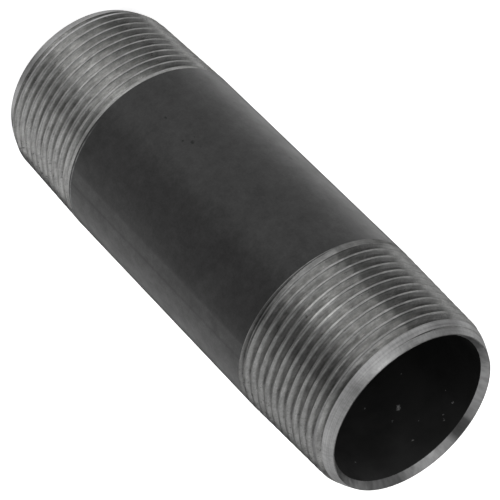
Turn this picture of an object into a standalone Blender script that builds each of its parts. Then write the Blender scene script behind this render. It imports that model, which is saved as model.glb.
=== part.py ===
"""Steel pipe nipple: a short pipe with a tapered right-hand thread cut on each end.

The nipple stands on its bottom end. +Z runs along the pipe, and the origin is the centre of
the bottom end face. It is one turned piece: the blank is a profile turned about Z, and each
thread is one helical V groove that sinks in on the chamfer, follows the taper and runs out
again where the bare metal ends. Lengths are in metres.
"""
import math

import bmesh
import bpy

MM = 0.001
INCH = 0.0254

# Pipe, cut at the long end of the tolerance on a nominal 4.5 inches
NOMINAL_LENGTH = 4.5 * INCH
LENGTH_EXCESS = 1.6 * MM
OUTSIDE_DIAMETER = 1.66 * INCH
WALL = 0.14 * INCH

# Thread
THREADS_PER_INCH = 11.5
TAPER = 1.0 / 16.0
THREAD_ANGLE = math.radians(60.0)
CREST_FLAT = 0.5 * MM
ROOT_FLAT = 0.12 * MM
CREST_CONE_LENGTH = 26.2 * MM
TOP_BARE_BAND = 1.8 * MM
TOP_SHOULDER = 0.05 * MM
TOP_TURN = math.radians(82.5)
BOTTOM_BARE_BAND = 0.3 * MM
BOTTOM_SHOULDER = 0.8 * MM
BOTTOM_TURN = math.radians(165.0)
RUN_OUT_TURNS = 0.4
ENTRY_DEPTH_IN = 1.0 * MM
ENTRY_LIFT = 0.35 * MM
ENTRY_TURNS = 0.45

# Ends
CHAMFER_LENGTH = 4.3 * MM
CHAMFER_CROWN = 0.14 * MM
LAND_WIDTH = 0.2 * MM
REAM_LENGTH = 1.5 * MM
REAM_WIDTH = 0.95 * MM

# Facets and the room that a cutter has around the metal
STEPS = 48
CUTTER_LIP = 0.05 * MM
CUTTER_REACH = 1.5 * MM
CORNER_MERGE = 0.0005 * MM
SHARP_ANGLE = math.radians(20.0)

# Colours
BLACK_COAT = (0.030, 0.030, 0.031, 1.0)
CUT_STEEL = (0.235, 0.235, 0.230, 1.0)

LENGTH = NOMINAL_LENGTH + LENGTH_EXCESS
OUTER_RADIUS = OUTSIDE_DIAMETER / 2
BORE_RADIUS = OUTER_RADIUS - WALL
LAND_INNER_RADIUS = BORE_RADIUS + REAM_WIDTH
LAND_OUTER_RADIUS = LAND_INNER_RADIUS + LAND_WIDTH
PITCH = INCH / THREADS_PER_INCH
GROOVE_WIDTH = PITCH - CREST_FLAT
THREAD_DEPTH = (GROOVE_WIDTH - ROOT_FLAT) / (2 * math.tan(THREAD_ANGLE / 2))
TOP_BARE_LENGTH = CREST_CONE_LENGTH + TOP_BARE_BAND
TOP_GROOVE_LENGTH = TOP_BARE_LENGTH - TOP_SHOULDER
BOTTOM_BARE_LENGTH = CREST_CONE_LENGTH + BOTTOM_BARE_BAND
BOTTOM_GROOVE_LENGTH = BOTTOM_BARE_LENGTH - BOTTOM_SHOULDER


def clear_scene():
    for obj in list(bpy.data.objects):
        bpy.data.objects.remove(obj, do_unlink=True)


def make_collection(name):
    collection = bpy.data.collections.new(name)
    bpy.context.scene.collection.children.link(collection)
    return collection


def make_material(name, colour, roughness, metallic):
    material = bpy.data.materials.new(name)
    material.use_nodes = True
    shader = material.node_tree.nodes["Principled BSDF"]
    shader.inputs["Base Color"].default_value = colour
    shader.inputs["Roughness"].default_value = roughness
    shader.inputs["Metallic"].default_value = metallic
    material.diffuse_color = colour
    return material


def crest_radius(depth_in):
    """Radius of the cone that the crests lie on, at a distance in from the end face."""
    return OUTER_RADIUS - (CREST_CONE_LENGTH - depth_in) * TAPER / 2


def end_profile(bare_length):
    """One end of the blank as (radius, distance in from the end face), from outside to bore."""
    chamfer_top = crest_radius(CHAMFER_LENGTH)
    chamfer_middle = (chamfer_top + LAND_OUTER_RADIUS) / 2 + CHAMFER_CROWN
    return [
        (OUTER_RADIUS, bare_length),
        (OUTER_RADIUS, CREST_CONE_LENGTH),
        (chamfer_top, CHAMFER_LENGTH),
        (chamfer_middle, CHAMFER_LENGTH / 2),
        (LAND_OUTER_RADIUS, 0.0),
        (LAND_INNER_RADIUS, 0.0),
        (BORE_RADIUS, REAM_LENGTH),
    ]


def blank_profile():
    """Closed outline: down the outside, across the bottom end, up the bore, across the top."""
    bottom = end_profile(BOTTOM_BARE_LENGTH)
    top = [(radius, LENGTH - depth_in) for radius, depth_in in end_profile(TOP_BARE_LENGTH)]
    return bottom + top[::-1]


def make_blank(collection):
    outline = blank_profile()
    mesh = bpy.data.meshes.new("pipe_nipple")
    points = [(radius, 0.0, height) for radius, height in outline]
    edges = [(i, (i + 1) % len(outline)) for i in range(len(outline))]
    mesh.from_pydata(points, edges, [])
    blank = bpy.data.objects.new("pipe_nipple", mesh)
    collection.objects.link(blank)
    turn = blank.modifiers.new("turn", "SCREW")
    turn.axis = "Z"
    turn.angle = math.tau
    turn.steps = STEPS
    turn.render_steps = STEPS
    turn.use_merge_vertices = True
    turn.merge_threshold = CORNER_MERGE
    return blank


def groove_section():
    """Section of the V groove as (radius, height) about its own centre, at the end face."""
    crest = crest_radius(0.0)
    half_root = ROOT_FLAT / 2
    half_mouth = GROOVE_WIDTH / 2 + CUTTER_LIP * math.tan(THREAD_ANGLE / 2)
    return [
        (crest - THREAD_DEPTH, -half_root),
        (crest + CUTTER_LIP, -half_mouth),
        (crest + CUTTER_REACH, -half_mouth),
        (crest + CUTTER_REACH, half_mouth),
        (crest + CUTTER_LIP, half_mouth),
        (crest - THREAD_DEPTH, half_root),
    ]


def groove_lift(turns_done, turns_left):
    """How far the groove is held out of the metal, where it enters and where it runs out."""
    entry = ENTRY_LIFT * max(0.0, 1.0 - turns_done / ENTRY_TURNS)
    run_out = (THREAD_DEPTH + CUTTER_LIP) * max(0.0, 1.0 - turns_left / RUN_OUT_TURNS)
    return entry + run_out


def make_groove_cutter(name, groove_length, collection):
    """A solid right-hand helix that climbs into the pipe from an end face at z = 0.

    One section face is extruded step by step, and every step is placed by the same rule: a
    turn climbs one pitch, the taper widens it, and both ends are lifted out of the metal.
    """
    section = groove_section()
    first_turn = ENTRY_DEPTH_IN / PITCH
    last_turn = groove_length / PITCH
    first_step = round(first_turn * STEPS)
    last_step = round(last_turn * STEPS)
    bm = bmesh.new()
    corner = bm.verts.layers.int.new("corner")

    def place(vert, step):
        radius, height = section[vert[corner]]
        turn = step / STEPS
        centre = turn * PITCH
        radius += centre * TAPER / 2 + groove_lift(turn - first_turn, last_turn - turn)
        angle = math.tau * turn
        vert.co = (radius * math.cos(angle), radius * math.sin(angle), centre + height)

    for index in range(len(section)):
        vert = bm.verts.new()
        vert[corner] = index
        place(vert, first_step)
    first = bm.faces.new(bm.verts)
    face = first
    for step in range(first_step + 1, last_step + 1):
        grown = bmesh.ops.extrude_face_region(bm, geom=[face])["geom"]
        if face is not first:
            bm.faces.remove(face)
        face = next(item for item in grown if isinstance(item, bmesh.types.BMFace))
        for vert in face.verts:
            place(vert, step)
    bmesh.ops.recalc_face_normals(bm, faces=bm.faces)
    mesh = bpy.data.meshes.new(name)
    bm.to_mesh(mesh)
    bm.free()
    cutter = bpy.data.objects.new(name, mesh)
    collection.objects.link(cutter)
    cutter.hide_render = True
    cutter.display_type = "WIRE"
    return cutter


def on_a_facet(angle):
    """The nearest whole number of facets, so that a groove's corners meet the blank's."""
    facet = math.tau / STEPS
    return round(angle / facet) * facet


def cut(blank, cutter):
    groove = blank.modifiers.new(cutter.name, "BOOLEAN")
    groove.operation = "DIFFERENCE"
    groove.solver = "EXACT"
    groove.object = cutter


def bake_modifiers(obj):
    """Replace the object's mesh with the shape that its modifiers make.

    The cutters' facets line up with the blank's, so each cut leaves pairs of corners in one
    place, which are merged here.
    """
    evaluated = obj.evaluated_get(bpy.context.evaluated_depsgraph_get())
    mesh = bpy.data.meshes.new_from_object(evaluated)
    bm = bmesh.new()
    bm.from_mesh(mesh)
    bmesh.ops.remove_doubles(bm, verts=bm.verts, dist=CORNER_MERGE)
    bm.to_mesh(mesh)
    bm.free()
    profile = obj.data
    obj.modifiers.clear()
    obj.data = mesh
    bpy.data.meshes.remove(profile)
    mesh.name = obj.name


def finish_surfaces(obj, coat, steel):
    """The coat stays on the pipe and in the bore. The threads and both bevels are bare metal."""
    mesh = obj.data
    mesh.materials.clear()
    mesh.materials.append(coat)
    mesh.materials.append(steel)
    for face in mesh.polygons:
        height = face.center.z
        on_outside = math.hypot(face.center.x, face.center.y) > LAND_INNER_RADIUS
        on_pipe = BOTTOM_BARE_LENGTH < height < LENGTH - TOP_BARE_LENGTH
        in_bore = REAM_LENGTH < height < LENGTH - REAM_LENGTH
        coated = on_pipe if on_outside else in_bore
        face.material_index = 0 if coated else 1
    mesh.shade_smooth()
    mesh.set_sharp_from_angle(angle=SHARP_ANGLE)


def main():
    clear_scene()
    parts = make_collection("pipe_nipple")
    cutters = make_collection("pipe_nipple_cutters")

    nipple = make_blank(parts)
    bottom_groove = make_groove_cutter("bottom_groove", BOTTOM_GROOVE_LENGTH, cutters)
    bottom_groove.rotation_euler = (0.0, 0.0, on_a_facet(BOTTOM_TURN))
    top_groove = make_groove_cutter("top_groove", TOP_GROOVE_LENGTH, cutters)
    top_groove.rotation_euler = (math.pi, 0.0, on_a_facet(TOP_TURN))
    top_groove.location = (0.0, 0.0, LENGTH)
    cut(nipple, bottom_groove)
    cut(nipple, top_groove)
    bpy.context.view_layer.update()
    bake_modifiers(nipple)

    coat = make_material("black_coat", BLACK_COAT, roughness=0.42, metallic=0.0)
    steel = make_material("cut_steel", CUT_STEEL, roughness=0.38, metallic=1.0)
    finish_surfaces(nipple, coat, steel)


main()
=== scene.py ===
import math

import bmesh
import bpy
from mathutils import Matrix, Vector, noise


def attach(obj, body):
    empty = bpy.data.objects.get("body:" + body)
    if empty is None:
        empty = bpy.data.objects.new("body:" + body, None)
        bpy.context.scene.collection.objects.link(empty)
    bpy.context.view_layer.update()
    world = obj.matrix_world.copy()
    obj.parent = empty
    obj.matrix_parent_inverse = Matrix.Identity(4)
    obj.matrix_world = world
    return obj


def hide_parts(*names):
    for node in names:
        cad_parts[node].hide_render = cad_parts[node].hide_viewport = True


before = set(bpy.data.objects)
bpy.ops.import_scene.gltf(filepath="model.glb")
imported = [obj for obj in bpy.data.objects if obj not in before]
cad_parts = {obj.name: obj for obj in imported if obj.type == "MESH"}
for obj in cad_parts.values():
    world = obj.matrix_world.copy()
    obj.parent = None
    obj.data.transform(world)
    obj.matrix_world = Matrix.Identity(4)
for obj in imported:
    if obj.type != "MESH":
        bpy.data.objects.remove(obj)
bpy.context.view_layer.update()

# The pipe nipple as photographed: black mill coat on the pipe, bare steel where the two
# tapered threads were cut. It stands on its bottom end, Z up, in metres. The photograph looks
# down on the top end, so the top thread is the near one.
#
# Marks are placed by how far they lie in from the top end and by their angle round the pipe,
# in degrees from the -Y side, growing towards -X.

MM = 0.001

# Sizes of the real nipple, as in the CAD source. Each groove starts and runs out softly here,
# so it takes a little more of a turn to do so than the CAD's.
LENGTH = 115.9 * MM
OUTER_RADIUS = 21.082 * MM
BORE_RADIUS = 17.526 * MM
PITCH = 25.4 / 11.5 * MM
TAPER = 1.0 / 16.0
CREST_FLAT = 0.5 * MM
ROOT_FLAT = 0.12 * MM
HALF_ANGLE = math.radians(30.0)
GROOVE_WIDTH = PITCH - CREST_FLAT
THREAD_DEPTH = (GROOVE_WIDTH - ROOT_FLAT) / (2.0 * math.tan(HALF_ANGLE))
CREST_CONE_LENGTH = 26.2 * MM
CHAMFER_LENGTH = 4.3 * MM
CHAMFER_CROWN = 0.14 * MM
LAND_INNER_RADIUS = 18.476 * MM
LAND_OUTER_RADIUS = 18.676 * MM
REAM_LENGTH = 1.5 * MM
TOP_BARE_LENGTH = 28.0 * MM
TOP_GROOVE_LENGTH = 27.95 * MM
TOP_TURN = math.radians(82.5)
BOTTOM_BARE_LENGTH = 26.5 * MM
BOTTOM_GROOVE_LENGTH = 25.7 * MM
BOTTOM_TURN = math.radians(163.1)
RUN_OUT_TURNS = 0.45
ENTRY_DEPTH_IN = 1.0 * MM
ENTRY_LIFT = 0.35 * MM
ENTRY_TURNS = 0.6

# Fineness of the turned surfaces, and the room that a cutter has around the metal
STEPS = 192
CHAMFER_RINGS = 9
CUTTER_LIP = 0.05 * MM
CUTTER_REACH = 1.5 * MM
CORNER_MERGE = 0.0005 * MM
SHARP_ANGLE = math.radians(24.0)

# The crests' edges: the broken corner, and how deep, how finely and where a die tears them
CREST_BREAK = 0.05 * MM
CREST_RAG = 0.035 * MM
RAG_CELLS_PER_METRE = 1400.0
RAG_START = CHAMFER_LENGTH + 0.2 * MM
RAG_ABOVE_CREST = 0.02 * MM
RAG_BELOW_CREST = 0.09 * MM


# ---- shape ----


def crest_radius(depth_in):
    """Radius of the cone that the crests lie on, at a distance in from an end face."""
    return OUTER_RADIUS - (CREST_CONE_LENGTH - depth_in) * TAPER / 2


def chamfer_radius(along):
    """Radius of the crowned outside chamfer, from 0 at the end face to 1 where it ends."""
    straight = LAND_OUTER_RADIUS + (crest_radius(CHAMFER_LENGTH) - LAND_OUTER_RADIUS) * along
    return straight + CHAMFER_CROWN * 4.0 * along * (1.0 - along)


def end_profile(bare_length):
    """One end from the outside round to the bore, as (radius, distance in from the end)."""
    chamfer = []
    for ring in range(CHAMFER_RINGS):
        along = 1.0 - ring / CHAMFER_RINGS
        chamfer.append((chamfer_radius(along), CHAMFER_LENGTH * along))
    return [
        (OUTER_RADIUS, bare_length),
        (OUTER_RADIUS, CREST_CONE_LENGTH),
        *chamfer,
        (LAND_OUTER_RADIUS, 0.0),
        (LAND_INNER_RADIUS, 0.0),
        (BORE_RADIUS, REAM_LENGTH),
    ]


def mesh_object(name, bm):
    """An object in the scene from a finished bmesh, which is freed."""
    mesh = bpy.data.meshes.new(name)
    bm.to_mesh(mesh)
    bm.free()
    piece = bpy.data.objects.new(name, mesh)
    bpy.context.scene.collection.objects.link(piece)
    return piece


def turned_blank():
    """The pipe before threading: its outline spun once about Z."""
    bottom = end_profile(BOTTOM_BARE_LENGTH)
    top = [(radius, LENGTH - depth_in) for radius, depth_in in end_profile(TOP_BARE_LENGTH)]
    outline = bottom + top[::-1]
    bm = bmesh.new()
    corners = [bm.verts.new((radius, 0.0, height)) for radius, height in outline]
    edges = [bm.edges.new((corners[i - 1], corners[i])) for i in range(len(corners))]
    bmesh.ops.spin(
        bm,
        geom=corners + edges,
        cent=(0.0, 0.0, 0.0),
        axis=(0.0, 0.0, 1.0),
        angle=math.tau,
        steps=STEPS,
        use_merge=True,
    )
    bmesh.ops.remove_doubles(bm, verts=bm.verts, dist=CORNER_MERGE)
    bmesh.ops.recalc_face_normals(bm, faces=bm.faces)
    return mesh_object("pipe", bm)


def groove_section():
    """Section of the thread groove as (radius, height) about its own centre."""
    crest = crest_radius(0.0)
    half_root = ROOT_FLAT / 2
    half_crest = GROOVE_WIDTH / 2
    slope = math.tan(HALF_ANGLE)
    half_mouth = half_crest + CREST_BREAK + CUTTER_LIP
    side = [
        (crest + CUTTER_REACH, half_mouth),
        (crest + CUTTER_LIP, half_mouth),
        (crest - CREST_BREAK, half_crest - CREST_BREAK * slope),
        (crest - THREAD_DEPTH / 2, (half_crest + half_root) / 2),
        (crest - THREAD_DEPTH + half_root, half_root * (1.0 + slope)),
        (crest - THREAD_DEPTH, half_root / 2),
    ]
    other = [(radius, -height) for radius, height in side]
    return side + other[::-1]


def ease(amount):
    """0 to 1 with a soft start and a soft stop. Past 1 it goes on straight."""
    if amount <= 0.0:
        return 0.0
    if amount >= 1.0:
        return amount
    return amount * amount * (3.0 - 2.0 * amount)


def groove_lift(turns_done, turns_left):
    """How far the groove is held out of the metal, where it enters and where it runs out."""
    entry = ENTRY_LIFT * ease(1.0 - turns_done / ENTRY_TURNS)
    run_out = (THREAD_DEPTH + CUTTER_LIP) * ease(1.0 - turns_left / RUN_OUT_TURNS)
    return entry + run_out


def groove_cutter(name, groove_length):
    """One solid right-hand helix for one end, with that end's face at z = 0.

    One turn of the section is spun and repeated, then each corner is moved out by the taper
    and by the lift at the two ends of the cut.
    """
    first_turn = ENTRY_DEPTH_IN / PITCH
    last_turn = round(groove_length / PITCH * STEPS) / STEPS
    turns = math.ceil(last_turn)
    bm = bmesh.new()
    corners = [bm.verts.new((radius, 0.0, height)) for radius, height in groove_section()]
    edges = [bm.edges.new((corners[i - 1], corners[i])) for i in range(len(corners))]
    bmesh.ops.spin(
        bm,
        geom=corners + edges,
        cent=(0.0, 0.0, 0.0),
        axis=(0.0, 0.0, 1.0),
        dvec=(0.0, 0.0, PITCH / STEPS),
        angle=math.tau,
        steps=STEPS,
    )
    one_turn = bm.verts[:] + bm.edges[:] + bm.faces[:]
    for count in range(1, turns):
        copied = bmesh.ops.duplicate(bm, geom=one_turn)["geom"]
        raised = [item for item in copied if isinstance(item, bmesh.types.BMVert)]
        bmesh.ops.translate(bm, verts=raised, vec=(0.0, 0.0, PITCH * count))
    bmesh.ops.remove_doubles(bm, verts=bm.verts, dist=CORNER_MERGE)
    bmesh.ops.holes_fill(bm, edges=bm.edges, sides=0)
    start_turn = last_turn - turns
    bmesh.ops.rotate(
        bm,
        verts=bm.verts,
        cent=(0.0, 0.0, 0.0),
        matrix=Matrix.Rotation(math.tau * start_turn, 3, "Z"),
    )
    bmesh.ops.translate(bm, verts=bm.verts, vec=(0.0, 0.0, PITCH * start_turn))
    for vert in bm.verts:
        part_turn = math.atan2(vert.co.y, vert.co.x) / math.tau
        turn = part_turn + round(vert.co.z / PITCH - part_turn)
        outward = Vector((vert.co.x, vert.co.y, 0.0)).normalized()
        lift = groove_lift(turn - first_turn, last_turn - turn)
        vert.co += outward * (turn * PITCH * TAPER / 2 + lift)
    bmesh.ops.recalc_face_normals(bm, faces=bm.faces)
    return mesh_object(name, bm)


def on_a_facet(angle):
    """The nearest whole number of facets, so that a groove's corners meet the blank's."""
    facet = math.tau / STEPS
    return round(angle / facet) * facet


def cut(piece, cutter):
    """Take the cutter's shape out of the piece, once the piece is baked."""
    groove = piece.modifiers.new(cutter.name, "BOOLEAN")
    groove.operation = "DIFFERENCE"
    groove.solver = "EXACT"
    groove.object = cutter


def tear_crests(bm):
    """Push the crests' edges in and along by small uneven amounts, as a blunt die does."""
    for vert in bm.verts:
        depth_in = min(vert.co.z, LENGTH - vert.co.z)
        if not RAG_START < depth_in < CREST_CONE_LENGTH:
            continue
        radius = math.hypot(vert.co.x, vert.co.y)
        below_crest = crest_radius(depth_in) - radius
        if not -RAG_ABOVE_CREST < below_crest < RAG_BELOW_CREST:
            continue
        outward = Vector((vert.co.x, vert.co.y, 0.0)) / radius
        rag = noise.noise_vector(vert.co * RAG_CELLS_PER_METRE)
        vert.co -= outward * (abs(rag.x) * CREST_RAG)
        vert.co.z += rag.y * CREST_RAG


def bake(piece):
    """Keep the shape that the modifiers make, with touching corners merged and crests torn."""
    evaluated = piece.evaluated_get(bpy.context.evaluated_depsgraph_get())
    mesh = bpy.data.meshes.new_from_object(evaluated)
    bm = bmesh.new()
    bm.from_mesh(mesh)
    bmesh.ops.remove_doubles(bm, verts=bm.verts, dist=CORNER_MERGE)
    tear_crests(bm)
    bm.to_mesh(mesh)
    bm.free()
    piece.modifiers.clear()
    piece.data = mesh
    mesh.name = piece.name


pipe = turned_blank()
bottom_groove = groove_cutter("bottom_groove", BOTTOM_GROOVE_LENGTH)
bottom_groove.data.transform(Matrix.Rotation(on_a_facet(BOTTOM_TURN), 4, "Z"))
top_groove = groove_cutter("top_groove", TOP_GROOVE_LENGTH)
end_for_end = Matrix.Rotation(on_a_facet(TOP_TURN), 4, "Z") @ Matrix.Rotation(math.pi, 4, "X")
top_groove.data.transform(Matrix.Translation((0.0, 0.0, LENGTH)) @ end_for_end)
cut(pipe, bottom_groove)
cut(pipe, top_groove)
bpy.context.view_layer.update()
bake(pipe)
for cutter in (bottom_groove, top_groove):
    bpy.data.objects.remove(cutter)
pipe.data.shade_smooth()
pipe.data.set_sharp_from_angle(angle=SHARP_ANGLE)


# ---- finishes ----

# Share of a small mark's radius that has its full strength
MARK_CORE = 0.4
# Noise seldom leaves this range, so it is spread from here
NOISE_RANGE = (0.3, 0.7)


def new_finish(name, roughness, metallic, specular=0.5):
    """A material and its shader, with the values that hold where no texture feeds it."""
    material = bpy.data.materials.new(name)
    material.use_nodes = True
    shader = material.node_tree.nodes["Principled BSDF"]
    shader.inputs["Roughness"].default_value = roughness
    shader.inputs["Metallic"].default_value = metallic
    shader.inputs["Specular IOR Level"].default_value = specular
    return material, shader


def node(material, kind, inputs, **settings):
    """One shader node. Each input is a number, a colour or the output of another node."""
    made = material.node_tree.nodes.new(kind)
    for name, value in settings.items():
        setattr(made, name, value)
    for socket, value in inputs.items():
        if isinstance(value, bpy.types.NodeSocket):
            material.node_tree.links.new(value, made.inputs[socket])
        else:
            made.inputs[socket].default_value = value
    return made.outputs[0]


def maths(material, operation, first, second=0.0, third=0.0):
    """One step of arithmetic on numbers or outputs of other nodes."""
    return node(material, "ShaderNodeMath", {0: first, 1: second, 2: third}, operation=operation)


def place_on_pipe(material):
    """Where a point is: its place, its angle round the pipe in degrees, its height and radius."""
    coordinates = material.node_tree.nodes.new("ShaderNodeTexCoord")
    place = coordinates.outputs["Object"]
    split = material.node_tree.nodes.new("ShaderNodeSeparateXYZ")
    material.node_tree.links.new(place, split.inputs[0])
    x, y, height = split.outputs
    minus_x = maths(material, "MULTIPLY", x, -1.0)
    minus_y = maths(material, "MULTIPLY", y, -1.0)
    angle = maths(material, "ARCTAN2", minus_x, minus_y)
    degrees = maths(material, "DEGREES", angle)
    squares = maths(material, "MULTIPLY_ADD", x, x, maths(material, "MULTIPLY", y, y))
    radius = maths(material, "SQRT", squares)
    return place, degrees, height, radius


def round_the_pipe(material, degrees, shades):
    """A grey that changes with the angle round the pipe, from (degrees, shade) pairs."""
    along = maths(material, "MULTIPLY_ADD", degrees, 1.0 / 360.0, 0.5)
    ramp_output = node(material, "ShaderNodeValToRGB", {0: along})
    ramp = ramp_output.node.color_ramp
    stops = [(angle / 360.0 + 0.5, shade) for angle, shade in shades]
    ramp.elements[0].position = stops[0][0]
    ramp.elements[1].position = stops[-1][0]
    for position, _ in stops[1:-1]:
        ramp.elements.new(position)
    for element, (_, shade) in zip(ramp.elements, stops):
        element.color = (shade, shade, shade, 1.0)
    return ramp_output


def grain(material, place, fineness, detail, low, high, stretch=(1.0, 1.0, 1.0), rough=0.6):
    """Noise in the metal, spread from low to high. Fineness is in cells per metre."""
    scaled = node(material, "ShaderNodeMapping", {"Vector": place, "Scale": stretch})
    cells = node(
        material,
        "ShaderNodeTexNoise",
        {"Vector": scaled, "Scale": fineness, "Detail": detail, "Roughness": rough},
    )
    return between(material, cells, *NOISE_RANGE, low, high)


def between(material, value, from_low, from_high, low, high):
    """Spread a value's range onto another range, held at its ends."""
    return node(
        material,
        "ShaderNodeMapRange",
        {
            "Value": value,
            "From Min": from_low,
            "From Max": from_high,
            "To Min": low,
            "To Max": high,
        },
    )


def point_on(angle, depth_in, radius):
    """A point on the pipe by its angle round it, its distance from the top end, its radius."""
    turned = math.radians(angle)
    return (-radius * math.sin(turned), -radius * math.cos(turned), LENGTH - depth_in)


def spots(material, place, marks):
    """1 inside small round marks and 0 elsewhere.

    Each mark is its angle, its depth in from the top end in mm, the radius it lies at in
    metres, and its own radius in mm. It fades over the outer part of that.
    """
    total = None
    for angle, depth_in, radius, size in marks:
        centre = point_on(angle, depth_in * MM, radius)
        away = node(
            material,
            "ShaderNodeVectorMath",
            {0: place, 1: centre},
            operation="DISTANCE",
        ).node.outputs["Value"]
        mark = between(material, away, size * MM, size * MM * MARK_CORE, 0.0, 1.0)
        total = mark if total is None else maths(material, "MAXIMUM", total, mark)
    return total


def jostled(material, place, fineness, amount):
    """The same place pushed about by noise, which gives the marks put there ragged edges."""
    cells = node(
        material,
        "ShaderNodeTexNoise",
        {"Vector": place, "Scale": fineness, "Detail": 2.0},
    ).node.outputs["Color"]
    centred = node(
        material, "ShaderNodeVectorMath", {0: cells, 1: (0.5, 0.5, 0.5)}, operation="SUBTRACT"
    )
    return node(
        material,
        "ShaderNodeVectorMath",
        {0: centred, 1: (amount, amount, amount), 2: place},
        operation="MULTIPLY_ADD",
    )


def blend(material, factor, first, second):
    """The first value where the factor is 0, the second where it is 1."""
    return node(material, "ShaderNodeMix", {"Factor": factor, 2: first, 3: second})


def product(material, *factors):
    """All the factors multiplied together."""
    result = factors[0]
    for factor in factors[1:]:
        result = maths(material, "MULTIPLY", result, factor)
    return result


def grey(material, value, tint=(1.0, 1.0, 1.0)):
    """A grey value as a colour, with a slight tint."""
    scaled = [maths(material, "MULTIPLY", value, part) for part in tint]
    return node(material, "ShaderNodeCombineColor", {0: scaled[0], 1: scaled[1], 2: scaled[2]})


def bump(material, height, distance, strength):
    """Surface relief from a texture, as the shader's normal."""
    return node(
        material,
        "ShaderNodeBump",
        {"Height": height, "Distance": distance, "Strength": strength},
    )


def feed(material, shader, **sockets):
    """Link textures to the shader's sockets, named with _ for each space."""
    for socket, value in sockets.items():
        material.node_tree.links.new(value, shader.inputs[socket.replace("_", " ")])


# How bright the bare threads are round the pipe, as (degrees, shade). The changes round the
# pipe are painted reflection and shade: middling below -30, dark near -20, bright from 0 to 30 and
# dark beyond.
TOP_THREAD = (
    (-180, 0.27), (-96, 0.20), (-84, 0.10), (-78, 0.20), (-68, 0.235), (-52, 0.226), (-40, 0.24),
    (-30, 0.20), (-21, 0.14), (-10, 0.165), (1, 0.30), (10, 0.355), (22, 0.445), (32, 0.40),
    (34, 0.265), (40, 0.245), (50, 0.18), (63, 0.165), (70, 0.31), (180, 0.27),
)
BOTTOM_THREAD = (
    (-180, 0.27), (-96, 0.20), (-84, 0.08), (-77, 0.16), (-70, 0.34), (-50, 0.32), (-40, 0.29),
    (-30, 0.29), (-21, 0.19), (-10, 0.245), (1, 0.365), (12, 0.43), (22, 0.46), (30, 0.40),
    (50, 0.17), (63, 0.18), (70, 0.37), (82, 0.24), (180, 0.27),
)

# The crests, the flanks that face down and the grooves' roots, as a share of those shades.
# These shares are painted highlight and shade as well.
TOP_CREST = (
    (-180, 0.9), (-66, 0.95), (-50, 1.0), (-32, 1.0), (-20, 0.66), (-10, 0.60), (0, 0.66),
    (20, 0.52), (40, 0.60), (50, 1.13), (60, 1.40), (72, 1.0), (180, 0.9),
)
BOTTOM_CREST = (
    (-180, 0.9), (-40, 0.88), (-30, 0.68), (-10, 0.66), (0, 0.75), (20, 0.52), (30, 0.58),
    (40, 0.76), (50, 1.5), (60, 1.7), (72, 1.0), (180, 0.9),
)
BOTTOM_UNDERSIDE = (
    (-180, 1.0), (-50, 0.80), (-20, 1.03), (0, 1.65), (10, 1.55), (20, 0.9), (40, 1.05),
    (50, 1.4), (60, 1.1), (180, 1.0),
)
TOP_ROOT = (
    (-180, 1.0), (-60, 1.05), (-50, 1.12), (-30, 1.33), (-5, 1.4), (10, 1.28), (20, 1.0),
    (30, 0.98), (40, 1.15), (50, 1.22), (60, 1.05), (180, 1.0),
)
BOTTOM_ROOT = (
    (-180, 1.0), (-50, 1.0), (-20, 1.14), (6, 1.06), (50, 1.06), (180, 1.0),
)

# Where the top thread's crests have a painted shadow along their lower lip, and how dark. It
# fades in and out over these parts of one turn of the helix, counted from LIP_TURN.
TOP_LIP = (
    (-180, 0.0), (-75, 0.2), (-50, 0.55), (-36, 1.0), (-20, 1.0), (-10, 0.4), (0, 0.0),
    (180, 0.0),
)
LIP_TURN = 0.455
LIP_FADES_IN = (0.36, 0.46)
LIP_FADES_OUT = (0.60, 0.66)
LIP_SHADE = 0.22

# Depth below the uncut surface over which the crest ends, and the root begins. For this the
# chamfer is taken as straight, and moved out by most of its crown.
CREST_ENDS = (0.10 * MM, 0.18 * MM)
ROOT_BEGINS = (0.45 * MM, 0.90 * MM)
CROWN_ALLOWANCE = 0.1 * MM

# Z of the surface's own direction over which a flank stops counting as facing down
UNDERSIDE_ENDS = (-0.5, -0.15)

# Only the peaks of the noise make pits
PITS_BEGIN = (0.80, 0.93)

# Distance from the top end over which the darker last band begins
LAST_BAND_BEGINS = (26.3 * MM, 26.8 * MM)
LAST_BAND_SHADE = 0.72

# Distance from the top end over which the crests' painted highlight comes and goes, and its
# strength
GLEAM_BEGINS = (10.0 * MM, 15.0 * MM)
GLEAM_ENDS = (23.0 * MM, 19.0 * MM)
GLEAM = 1.8

# Distance in from the end over which painted shade darkens the chamfer towards the thread
TOP_SHADED_END = (2.7 * MM, 3.4 * MM)
BOTTOM_SHADED_END = (2.9 * MM, 3.5 * MM)
TOP_END_SHADE = 0.55

# Height of the ring that the bottom die left on the coat
DIE_MARK_BEGINS = (26.8 * MM, 26.95 * MM)
DIE_MARK_ENDS = (27.1 * MM, 27.25 * MM)

# Height over which the coat's reflection strength changes on one side, and its factor at the two
# ends of that
SPECULAR_FADE_HEIGHTS = (30.0 * MM, 88.0 * MM)
SPECULAR_FADE_SCALE = (1.14, 0.90)
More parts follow.
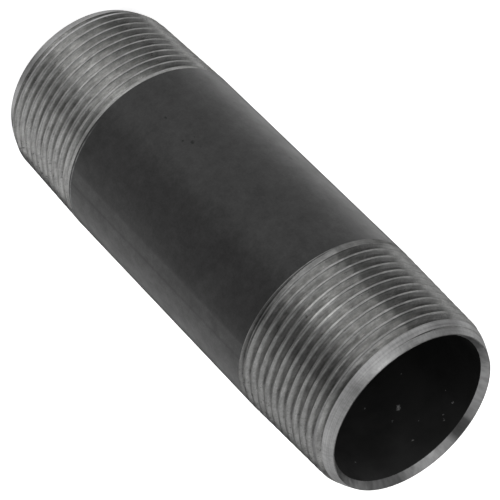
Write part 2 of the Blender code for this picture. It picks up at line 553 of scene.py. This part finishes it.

# The outside chamfers and the inside bevels, as (degrees, shade): painted reflection and shade
TOP_CHAMFER = (
    (-180, 0.38), (-76, 0.28), (-62, 0.27), (-46, 0.33), (-30, 0.27), (-13, 0.24), (-7, 0.34),
    (4, 0.39), (12, 0.38), (24, 0.30), (38, 0.30), (50, 0.18), (62, 0.17), (76, 0.35), (180, 0.38),
)
BOTTOM_CHAMFER = (
    (-180, 0.26), (-92, 0.30), (-82, 0.65), (-71, 0.01), (-60, 0.04), (-46, 0.53), (-34, 0.40),
    (-27, 0.25), (-14, 0.19), (0, 0.34), (24, 0.35), (44, 0.48), (54, 0.43), (62, 0.04),
    (71, 0.01), (84, 0.19), (180, 0.26),
)
REAM = (
    (-180, 0.26), (-160, 0.40), (-150, 0.53), (-143, 0.25), (-119, 0.15), (-99, 0.40), (98, 0.43),
    (107, 0.27), (120, 0.34), (150, 0.20), (156, 0.16), (159, 0.06), (170, 0.065), (175, 0.24),
    (180, 0.26),
)


def top_or_bottom(material, height, top, bottom):
    """One value on the top half of the pipe, the other on the bottom half."""
    top_half = maths(material, "GREATER_THAN", height, LENGTH / 2)
    return blend(material, top_half, bottom, top)


def thread_steel():
    """Both threads: flanks, crests and grooves, streaked and torn by the die, with painted
    reflection and shade round the pipe.
    """
    material, shader = new_finish("thread_steel", roughness=0.3, metallic=1.0)
    shader.inputs["Specular Tint"].default_value = (0.2, 0.2, 0.2, 1.0)
    place, degrees, height, radius = place_on_pipe(material)
    # What changes round the pipe has a wavering edge
    wander = grain(material, place, 260.0, 2.0, -1.4, 1.4)
    degrees = maths(material, "ADD", degrees, wander)
    # How far a point lies below the surface that the die cut into
    from_top = maths(material, "SUBTRACT", LENGTH, height)
    depth_in = maths(material, "MINIMUM", height, from_top)
    cone = maths(material, "MULTIPLY_ADD", depth_in, TAPER / 2, crest_radius(0.0))
    slope = (chamfer_radius(1.0) - LAND_OUTER_RADIUS) / CHAMFER_LENGTH
    bevel = maths(material, "MULTIPLY_ADD", depth_in, slope, LAND_OUTER_RADIUS + CROWN_ALLOWANCE)
    surface = maths(material, "MINIMUM", maths(material, "MINIMUM", cone, bevel), OUTER_RADIUS)
    below = maths(material, "SUBTRACT", surface, radius)

    def at_either_end(top, bottom):
        return top_or_bottom(
            material,
            height,
            round_the_pipe(material, degrees, top),
            round_the_pipe(material, degrees, bottom),
        )

    # Painted reflection and shade round the pipe, with shares for crests, down-facing flanks,
    # roots and lip
    metal = at_either_end(TOP_THREAD, BOTTOM_THREAD)
    on_crest = between(material, below, *CREST_ENDS, 1.0, 0.0)
    crest = blend(material, on_crest, 1.0, at_either_end(TOP_CREST, BOTTOM_CREST))
    facing = material.node_tree.nodes.new("ShaderNodeTexCoord").outputs["Normal"]
    facing_up = node(material, "ShaderNodeSeparateXYZ", {0: facing}).node.outputs["Z"]
    on_underside = between(material, facing_up, *UNDERSIDE_ENDS, 1.0, 0.0)
    far_underside = round_the_pipe(material, degrees, BOTTOM_UNDERSIDE)
    far_underside = top_or_bottom(material, height, 1.0, far_underside)
    underside = blend(material, on_underside, 1.0, far_underside)
    ragged = grain(material, place, 800.0, 3.0, -0.14 * MM, 0.14 * MM, (1.0, 1.0, 0.4))
    ragged_below = maths(material, "ADD", below, ragged)
    in_root = between(material, ragged_below, *ROOT_BEGINS, 0.0, 1.0)
    root = blend(material, in_root, 1.0, at_either_end(TOP_ROOT, BOTTOM_ROOT))
    # Part of a turn by which a point is ahead of the helix, so the same all along one crest
    turns = maths(material, "MULTIPLY_ADD", degrees, -1.0 / 360.0, LIP_TURN)
    turns = maths(material, "MULTIPLY_ADD", from_top, 1.0 / PITCH, turns)
    turn = maths(material, "FRACT", turns)
    # Painted shadow along the top crests' lower lip
    painted_lip_shadow = product(
        material,
        between(material, turn, *LIP_FADES_IN, 0.0, 1.0),
        between(material, turn, *LIP_FADES_OUT, 1.0, 0.0),
        on_crest,
        top_or_bottom(material, height, round_the_pipe(material, degrees, TOP_LIP), 0.0),
    )
    lip = blend(material, painted_lip_shadow, 1.0, LIP_SHADE)
    last_band = between(material, from_top, *LAST_BAND_BEGINS, 1.0, LAST_BAND_SHADE)
    last_band = top_or_bottom(material, height, last_band, 1.0)
    shade = product(material, metal, crest, underside, root, lip, last_band)
    streaks = grain(material, place, 420.0, 4.0, 0.84, 1.16, (0.5, 0.5, 9.0))
    patches = grain(material, place, 520.0, 3.0, 0.82, 1.18, (1.0, 1.0, 0.7))
    uneven = round_the_pipe(
        material,
        degrees,
        ((-180, 0.8), (-60, 1.0), (50, 1.0), (63, 0.35), (90, 0.35), (180, 0.8)),
    )
    patches = blend(material, uneven, 1.0, patches)
    grit = grain(material, place, 2100.0, 3.0, 0.82, 1.18, rough=0.8)
    torn = round_the_pipe(
        material,
        degrees,
        ((-180, 0.15), (-30, 0.15), (-4, 1.0), (13, 0.9), (30, 0.3), (180, 0.15)),
    )
    tears = grain(material, place, 600.0, 3.0, 0.74, 1.26, (0.6, 0.6, 8.0))
    tears = blend(material, torn, 1.0, tears)
    # Painted highlight on the top thread's crests, from 10 to 23 mm in and -7 to 17 degrees
    near_middle = product(
        material,
        on_crest,
        between(material, from_top, *GLEAM_BEGINS, 0.0, 1.0),
        between(material, from_top, *GLEAM_ENDS, 0.0, 1.0),
        round_the_pipe(
            material,
            degrees,
            ((-180, 0.0), (-7, 0.0), (-2, 1.0), (10, 1.0), (17, 0.0), (180, 0.0)),
        ),
    )
    gleam = blend(material, near_middle, 1.0, GLEAM)
    nicks = spots(
        material,
        jostled(material, place, 1800.0, 0.9 * MM),
        [
            (-46.2, 24.6, 20.6 * MM, 0.5), (-46.6, 25.1, 20.4 * MM, 0.4),
            (-45, 14.2, 20.3 * MM, 0.3), (-49, 13.8, 20.3 * MM, 0.35),
            (-56.5, 13.3, 20.3 * MM, 0.35), (-51.4, 4.4, 19.6 * MM, 0.35),
            (-57, 4.2, 19.6 * MM, 0.4), (6.1, 20.8, 20.3 * MM, 0.4),
            (-3.6, 19.3, 20.2 * MM, 0.4),
        ],
    )
    pitting = grain(material, place, 1100.0, 2.0, 0.0, 1.0)
    pitting = between(material, pitting, *PITS_BEGIN, 0.0, 1.0)
    pitted_side = round_the_pipe(
        material,
        degrees,
        ((-180, 0.0), (-90, 0.9), (-66, 0.9), (-48, 0.25), (-36, 0.0), (180, 0.0)),
    )
    pitting = maths(material, "MULTIPLY", pitting, pitted_side)
    flaws = maths(material, "MAXIMUM", nicks, pitting)
    clean = between(material, flaws, 0.0, 1.0, 1.0, 0.35)
    value = product(material, shade, streaks, patches, grit, tears, gleam, clean)
    colour = grey(material, value, (1.0, 1.0, 0.985))
    roughness = grain(material, place, 700.0, 3.0, 0.26, 0.42, (0.6, 0.6, 5.0))
    relief = product(material, streaks, grit, clean)
    normal = bump(material, relief, 0.05 * MM, 0.5)
    feed(material, shader, Base_Color=colour, Roughness=roughness, Normal=normal)
    return material


def turned_steel():
    """The outside chamfer and the narrow land, with the tool's fine rings and painted reflection
    and shade.
    """
    material, shader = new_finish("turned_steel", roughness=0.3, metallic=1.0)
    shader.inputs["Specular Tint"].default_value = (0.3, 0.3, 0.3, 1.0)
    place, degrees, height, _ = place_on_pipe(material)
    # Painted reflection and shade round the pipe
    shade = top_or_bottom(
        material,
        height,
        round_the_pipe(material, degrees, TOP_CHAMFER),
        round_the_pipe(material, degrees, BOTTOM_CHAMFER),
    )
    from_top = maths(material, "SUBTRACT", LENGTH, height)
    depth_in = maths(material, "MINIMUM", height, from_top)
    # Painted reflection and shade by angle on the bottom chamfer's end near the thread
    ridge = round_the_pipe(
        material,
        degrees,
        ((-180, 0.8), (-70, 0.6), (-35, 0.6), (-5, 1.12), (60, 1.0), (180, 0.8)),
    )
    painted_end_shade = top_or_bottom(
        material,
        height,
        between(material, depth_in, *TOP_SHADED_END, 1.0, TOP_END_SHADE),
        between(material, depth_in, *BOTTOM_SHADED_END, 1.0, ridge),
    )
    rings = grain(material, place, 400.0, 3.0, 0.80, 1.20, (0.12, 0.12, 9.0))
    patches = grain(material, place, 500.0, 2.0, 0.92, 1.08)
    chatter = grain(material, place, 2400.0, 1.0, 0.90, 1.10, (1.0, 1.0, 0.12))
    value = product(material, shade, painted_end_shade, rings, patches, chatter)
    colour = grey(material, value)
    roughness = grain(material, place, 700.0, 2.0, 0.28, 0.4, (0.3, 0.3, 6.0))
    dulled = round_the_pipe(
        material,
        degrees,
        (
            (-180, 1.0), (-92, 1.0), (-76, 2.0), (-58, 1.8), (-46, 1.0), (54, 1.0), (66, 1.6),
            (80, 1.0), (180, 1.0),
        ),
    )
    roughness = product(material, roughness, top_or_bottom(material, height, 1.0, dulled))
    normal = bump(material, rings, 0.04 * MM, 0.4)
    feed(material, shader, Base_Color=colour, Roughness=roughness, Normal=normal)
    return material


def reamed_steel():
    """The inside bevel, with the bands that a chattering reamer leaves and painted reflection and
    shade.
    """
    material, shader = new_finish("reamed_steel", roughness=0.34, metallic=1.0)
    shader.inputs["Specular Tint"].default_value = (0.5, 0.5, 0.5, 1.0)
    place, degrees, _, _ = place_on_pipe(material)
    # Painted reflection and shade round the pipe
    shade = round_the_pipe(material, degrees, REAM)
    chatter = grain(material, place, 900.0, 2.0, 0.82, 1.18, (1.0, 1.0, 0.05))
    value = product(material, shade, chatter)
    colour = grey(material, value)
    roughness = grain(material, place, 700.0, 2.0, 0.28, 0.40, (1.0, 1.0, 0.1))
    normal = bump(material, chatter, 0.06 * MM, 0.5)
    feed(material, shader, Base_Color=colour, Roughness=roughness, Normal=normal)
    return material


def black_coat():
    """Mill scale under black lacquer: satin, with faint clouds, drawing lines and pits, and
    painted shade and sheen round the pipe.
    """
    material, shader = new_finish("black_coat", roughness=0.46, metallic=0.0)
    place, degrees, height, _ = place_on_pipe(material)
    clouds = grain(material, place, 150.0, 4.0, 0.90, 1.10)
    mottling = grain(material, place, 560.0, 3.0, 0.89, 1.11)
    lines = grain(material, place, 1100.0, 2.0, 0.95, 1.05, (1.0, 1.0, 0.02))
    specks = grain(material, place, 2400.0, 1.0, 0.93, 1.07)
    scored = round_the_pipe(
        material,
        degrees,
        (
            (-180, 1.0), (-80.5, 1.0), (-79, 0.75), (-77.5, 1.0), (-51.9, 1.0), (-50.6, 0.80),
            (-49.2, 1.0), (180, 1.0),
        ),
    )
    pits = spots(
        material,
        jostled(material, place, 1500.0, 1.2 * MM),
        [
            (18.5, 78.0, OUTER_RADIUS, 0.45), (19.2, 68.7, OUTER_RADIUS, 0.5),
            (22.0, 69.6, OUTER_RADIUS, 0.3), (16.0, 70.4, OUTER_RADIUS, 0.3),
            (61.3, 56.1, OUTER_RADIUS, 0.5), (64.0, 41.0, OUTER_RADIUS, 0.35),
        ],
    )
    clean = between(material, pits, 0.0, 1.0, 1.0, 0.55)
    # Painted shade round the pipe: the coat darker from -40 to -8 and lighter at the sides
    base = round_the_pipe(
        material,
        degrees,
        (
            (-180, 0.018), (-84, 0.012), (-70, 0.031), (-54, 0.024), (-42, 0.018),
            (-40.5, 0.005), (-25, 0.004), (-8, 0.005), (8, 0.018), (24, 0.017), (42, 0.010),
            (68, 0.022), (78, 0.032), (180, 0.018),
        ),
    )
    die_mark = product(
        material,
        between(material, height, *DIE_MARK_BEGINS, 0.0, 1.0),
        between(material, height, *DIE_MARK_ENDS, 1.0, 0.0),
        round_the_pipe(
            material,
            degrees,
            ((-180, 0.0), (-74, 0.0), (-60, 0.09), (-30, 0.09), (-8, 0.0), (180, 0.0)),
        ),
        grain(material, place, 700.0, 2.0, 0.3, 1.3),
    )
    value = product(material, base, clouds, mottling, lines, specks, scored, clean)
    value = maths(material, "ADD", value, die_mark)
    colour = grey(material, value)
    # Painted sheen: how strongly the coat reflects, set round the pipe
    coat_painted_sheen = round_the_pipe(
        material,
        degrees,
        (
            (-180, 0.25), (-62, 0.25), (-42, 0.245), (-40.5, 0.225), (-24, 0.21), (-8, 0.22),
            (8, 0.26), (26, 0.24), (60, 0.25), (180, 0.25),
        ),
    )
    specular_fade_side = round_the_pipe(
        material,
        degrees,
        ((-180, 0.0), (-50, 0.0), (-32, 1.0), (0, 1.0), (12, 0.0), (180, 0.0)),
    )
    specular_by_height = between(material, height, *SPECULAR_FADE_HEIGHTS, *SPECULAR_FADE_SCALE)
    specular_fade = blend(material, specular_fade_side, 1.0, specular_by_height)
    specular = product(material, coat_painted_sheen, specular_fade, clouds, mottling, specks, scored, clean)
    gloss = round_the_pipe(
        material,
        degrees,
        (
            (-180, 0.50), (-88, 1.0), (-74, 0.62), (-45, 0.55), (-41, 0.50), (-10, 0.50),
            (30, 0.46), (66, 0.40), (78, 0.48), (90, 1.0), (180, 0.50),
        ),
    )
    roughness = product(material, gloss, grain(material, place, 260.0, 3.0, 0.92, 1.08))
    relief = product(material, mottling, lines, between(material, pits, 0.0, 1.0, 1.0, 0.0))
    normal = bump(material, relief, 0.03 * MM, 0.2)
    feed(material, shader, Base_Color=colour, Roughness=roughness, Normal=normal)
    feed(material, shader, Specular_IOR_Level=specular)
    return material


def bore_coat():
    """The dull black inside, with a few light specks of dust and bare metal, and painted shade
    round it.
    """
    material, shader = new_finish("bore_coat", roughness=0.75, metallic=0.0, specular=0.1)
    place, degrees, _, _ = place_on_pipe(material)
    clouds = grain(material, place, 120.0, 3.0, 0.75, 1.25)
    specks = spots(
        material,
        jostled(material, place, 2000.0, 1.2 * MM),
        [
            (-159.5, 18.8, BORE_RADIUS, 0.32), (-176.4, 14.3, BORE_RADIUS, 0.55),
            (-175.0, 13.9, BORE_RADIUS, 0.40), (-167.1, 12.7, BORE_RADIUS, 0.20),
            (-179.4, 8.8, BORE_RADIUS, 0.24), (156.3, 5.3, BORE_RADIUS, 0.22),
            (166.6, 5.4, BORE_RADIUS, 0.28), (168.6, 4.6, BORE_RADIUS, 0.22),
            (-167.2, 6.4, BORE_RADIUS, 0.24), (166.9, 19.0, BORE_RADIUS, 0.18),
            (153.8, 8.2, BORE_RADIUS, 0.18), (-123.3, 7.3, BORE_RADIUS, 0.20),
        ],
    )
    # The bore's own near-black, with painted shade: lighter and darker by angle as light falls
    # into the bore
    bore_black_and_shade = round_the_pipe(
        material,
        degrees,
        (
            (-180, 0.024), (-160, 0.036), (-120, 0.044), (0, 0.03), (110, 0.004), (150, 0.012),
            (180, 0.024),
        ),
    )
    dark = product(material, clouds, bore_black_and_shade)
    dust = product(material, specks, grain(material, place, 2600.0, 1.0, 0.10, 0.42))
    value = maths(material, "ADD", dust, dark)
    colour = grey(material, value)
    roughness = grain(material, place, 500.0, 3.0, 0.66, 0.84)
    normal = bump(material, grain(material, place, 900.0, 3.0, 0.0, 1.0), 0.04 * MM, 0.3)
    feed(material, shader, Base_Color=colour, Roughness=roughness, Normal=normal)
    return material


# How far below the chamfer's own surface a face still belongs to it and not to a groove
CHAMFER_SLACK = 0.01 * MM

finishes = [black_coat(), thread_steel(), turned_steel(), reamed_steel(), bore_coat()]
COAT, THREAD, CHAMFER, BEVEL, BORE = range(len(finishes))
for finish in finishes:
    pipe.data.materials.append(finish)
for face in pipe.data.polygons:
    x, y, height = face.center
    radius = math.hypot(x, y)
    depth_in = min(height, LENGTH - height)
    bare_length = BOTTOM_BARE_LENGTH if height < LENGTH / 2 else TOP_BARE_LENGTH
    chamfer_surface = chamfer_radius(depth_in / CHAMFER_LENGTH)
    if radius < LAND_INNER_RADIUS:
        face.material_index = BORE if depth_in > REAM_LENGTH else BEVEL
    elif depth_in > bare_length:
        face.material_index = COAT
    elif depth_in < CHAMFER_LENGTH and radius > chamfer_surface - CHAMFER_SLACK:
        face.material_index = CHAMFER
    else:
        face.material_index = THREAD

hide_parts("pipe_nipple")
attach(pipe, "root")


# ---- studio ----

# White paper that glows a little, so that it stays as white as the photograph's ground
PAPER_HALF_WIDTH = 4.0
PAPER_WHITE = (0.80, 0.80, 0.80, 1.0)
PAPER_GLOW_COLOUR = (1.0, 1.0, 1.0, 1.0)
PAPER_GLOW = 0.80

bm = bmesh.new()
bmesh.ops.create_grid(bm, x_segments=1, y_segments=1, size=PAPER_HALF_WIDTH)
floor = mesh_object("floor", bm)
floor_paper, shader = new_finish("floor_paper", roughness=1.0, metallic=0.0, specular=0.0)
shader.inputs["Base Color"].default_value = PAPER_WHITE
shader.inputs["Emission Color"].default_value = PAPER_GLOW_COLOUR
shader.inputs["Emission Strength"].default_value = PAPER_GLOW
floor.data.materials.append(floor_paper)


def softbox(name, place, facing, size, brightness):
    """A rectangular studio light of an even brightness, at a place and facing one way."""
    light = bpy.data.lights.new(name, "AREA")
    light.shape = "RECTANGLE"
    light.size, light.size_y = size
    light.energy = brightness * math.pi * size[0] * size[1]
    lamp = bpy.data.objects.new(name, light)
    bpy.context.scene.collection.objects.link(lamp)
    lamp.location = place
    lamp.rotation_mode = "QUATERNION"
    lamp.rotation_quaternion = Vector(facing).to_track_quat("-Z", "Y")


# Each softbox: its place, the way it faces, its width and depth, and its brightness
DOWN = (0.0, 0.0, -1.0)
softbox("overhead", (-0.066, 0.02, 0.40), DOWN, (0.184, 0.45), 0.7)
softbox("left_side", (0.38, 0.20, 0.40), DOWN, (0.68, 1.4), 0.9)
softbox("right_side", (-0.60, 0.65, 0.40), DOWN, (0.64, 1.1), 0.6)
softbox("front", (-0.55, -1.60, 1.00), (0.30, 0.88, -0.50), (1.45, 0.90), 0.9)

# The room is pale near the floor and dim above, each from a height on the sky's sphere
ROOM_PALE = (0.85, 0.85, 0.85, 1.0)
ROOM_DIM = (0.14, 0.14, 0.14, 1.0)
PALE_UP_TO = 0.10
DIM_FROM = 0.42

world = bpy.data.worlds.new("studio")
world.use_nodes = True
tree = world.node_tree
direction = tree.nodes.new("ShaderNodeTexCoord").outputs["Generated"]
split = tree.nodes.new("ShaderNodeSeparateXYZ")
tree.links.new(direction, split.inputs[0])
room = tree.nodes.new("ShaderNodeValToRGB")
tree.links.new(split.outputs["Z"], room.inputs[0])
pale, dim = room.color_ramp.elements
pale.position = PALE_UP_TO
pale.color = ROOM_PALE
dim.position = DIM_FROM
dim.color = ROOM_DIM
tree.links.new(room.outputs["Color"], tree.nodes["Background"].inputs["Color"])
tree.nodes["Background"].inputs["Strength"].default_value = 1.0
bpy.context.scene.world = world

# Camera: the fit of the photograph's outline. Its picture is rolled, so its own right
# direction is given beside the way back from the pipe to it.
CAMERA_PLACE = (0.0, -0.5054, 0.4313)
CAMERA_BACK = (-0.0001, -0.8069, 0.5906)
CAMERA_RIGHT = (-0.7092, 0.4165, 0.5689)
CAMERA_LENS = 224.18
CAMERA_SENSOR = 36.0

camera_data = bpy.data.cameras.new("camera")
camera_data.sensor_width = CAMERA_SENSOR
camera_data.lens = CAMERA_LENS
camera_data.clip_start = 0.01
camera_data.clip_end = 50.0
camera = bpy.data.objects.new("camera", camera_data)
bpy.context.scene.collection.objects.link(camera)
back = Vector(CAMERA_BACK).normalized()
up = back.cross(Vector(CAMERA_RIGHT)).normalized()
right = up.cross(back)
turn = Matrix((right, up, back)).transposed().to_4x4()
camera.matrix_world = Matrix.Translation(CAMERA_PLACE) @ turn
bpy.context.scene.camera = camera
bpy.context.scene.view_settings.view_transform = "Standard"
